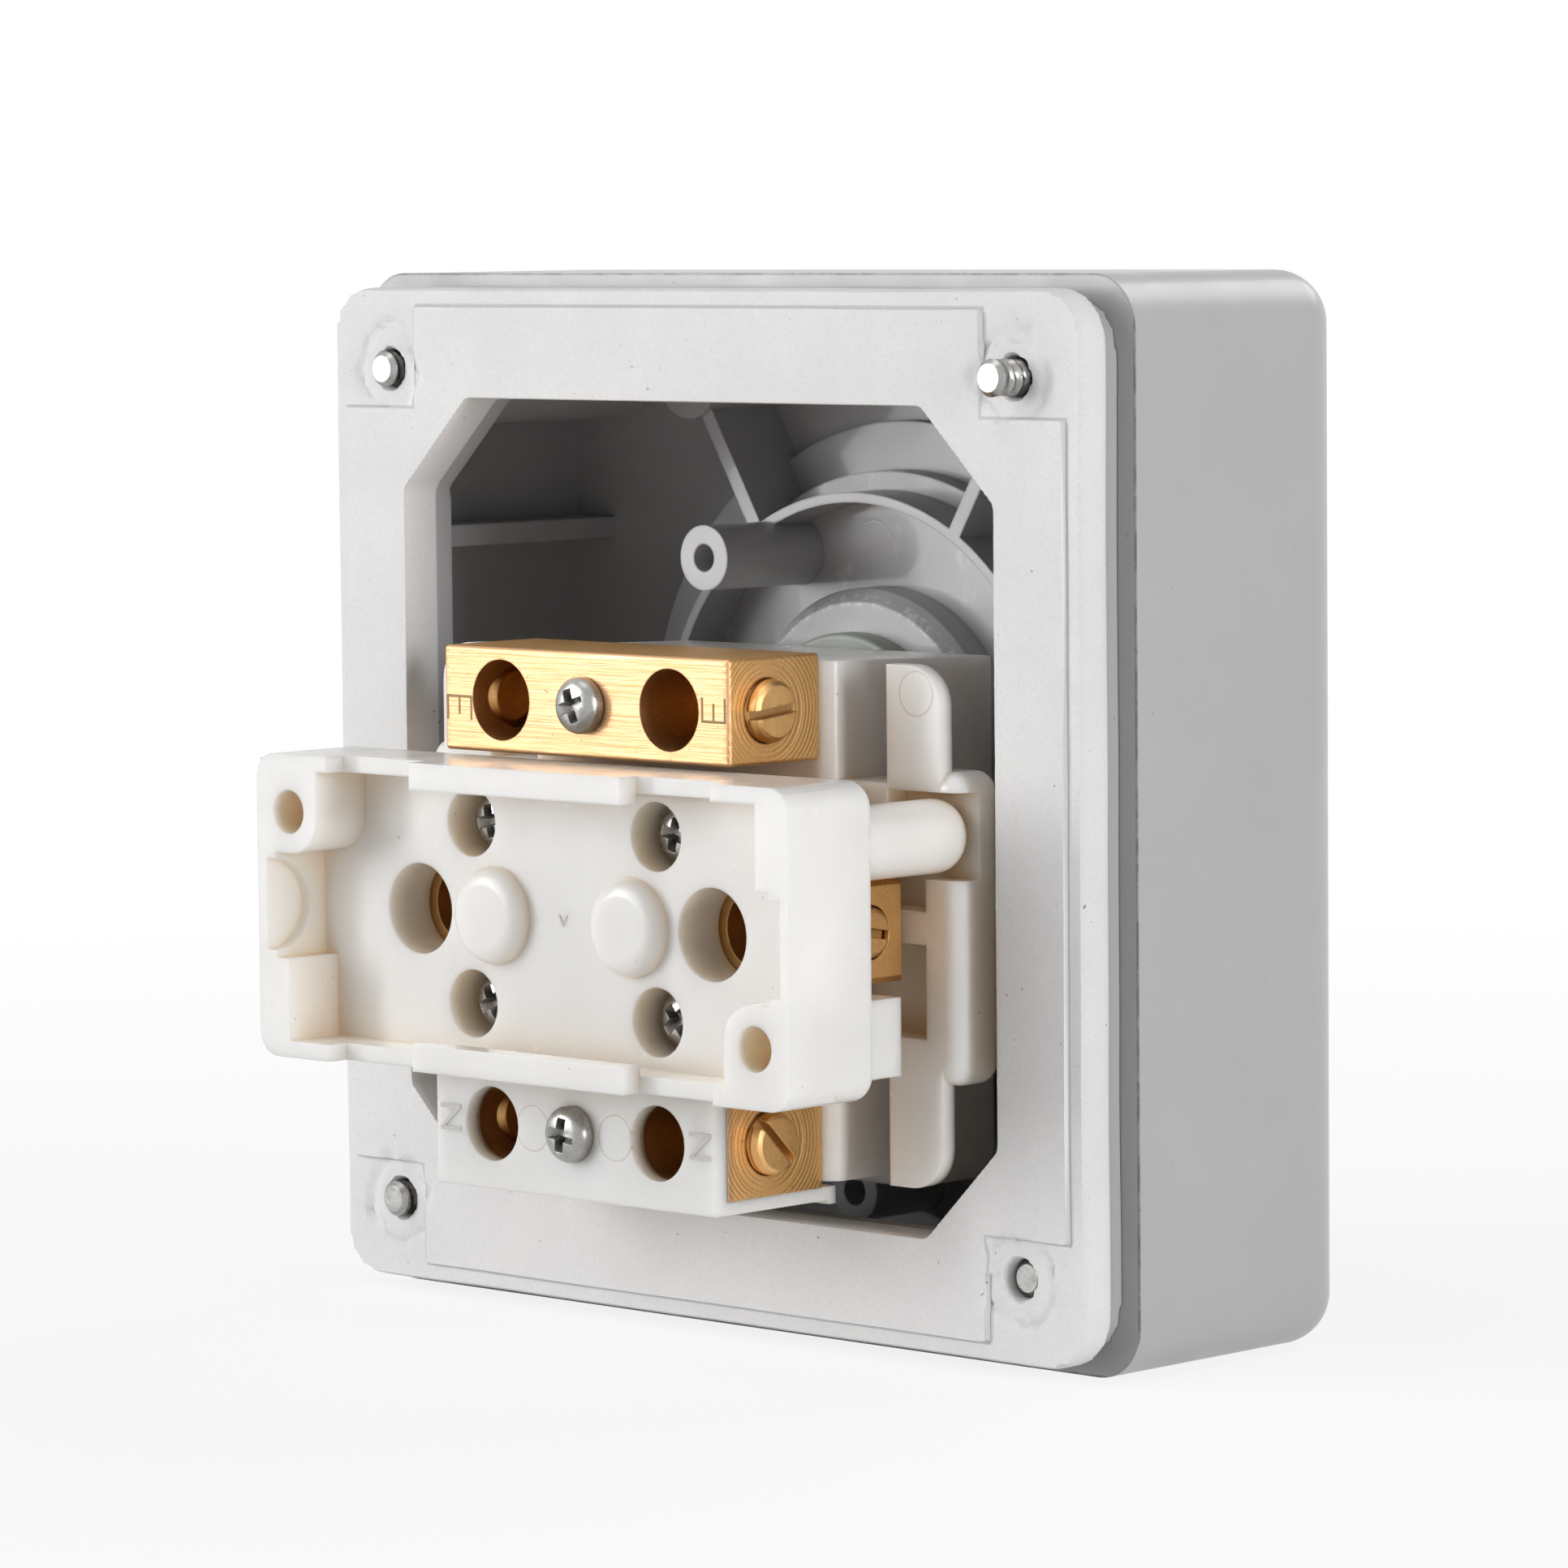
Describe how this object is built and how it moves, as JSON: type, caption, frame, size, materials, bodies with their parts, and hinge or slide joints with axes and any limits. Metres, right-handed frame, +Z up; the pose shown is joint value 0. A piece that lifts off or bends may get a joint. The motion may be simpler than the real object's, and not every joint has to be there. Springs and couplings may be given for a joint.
{
  "type": "weatherproof isolator switch",
  "caption": "Square weatherproof rotary isolator switch with a foam wall gasket, a white switch body, brass terminals and bars, and a terminal cover open to the rear.",
  "frame": {"origin": "centre of the four fixing screws, in the plane of the gasket's wall face", "axes": "+Y towards the wall, the handle faces -Y, +Z up"},
  "size_m": [0.101, 0.0716, 0.101],
  "materials": {
    "housing_plastic": "satin moulded",
    "gasket_foam": "fine-grained closed-cell foam",
    "white_plastic": "satin moulded",
    "brass": "machined",
    "contact_metal": "stamped",
    "steel": "zinc plated",
    "handle_plastic": "satin moulded",
    "spindle_plastic": "satin moulded",
    "seal_rubber": "smooth"
  },
  "bodies": {
    "base": {"switch_body": "white_plastic", "switch_front_plate": "white_plastic", "terminal_cover": "white_plastic", "neutral_carrier": "white_plastic", "line_terminal": "brass", "load_terminal": "brass", "terminal_clamp_screws": "brass", "earth_bar": "brass", "earth_clamp_screws": "brass", "neutral_bar": "brass", "neutral_clamp_screws": "brass", "line_contact": "contact_metal", "load_contact": "contact_metal", "cover_screws": "steel", "body_fixing_screws": "steel", "terminal_cover_screws": "steel", "earth_bar_screw": "steel", "neutral_bar_screw": "steel", "front_housing": "housing_plastic", "rear_gasket": "gasket_foam"},
    "handle": {"rotary_handle": "handle_plastic", "handle_spindle": "spindle_plastic", "spindle_seal": "seal_rubber", "handle_screw": "steel", "rotor": "white_plastic", "moving_contact": "contact_metal"}
  },
  "joints": [
    {"name": "handle_turn", "type": "hinge", "parent": "base", "child": "handle", "pos_m": [0, -0.03, 0.003], "axis": [0, 1, 0], "range_deg": [0, 90]}
  ]
}
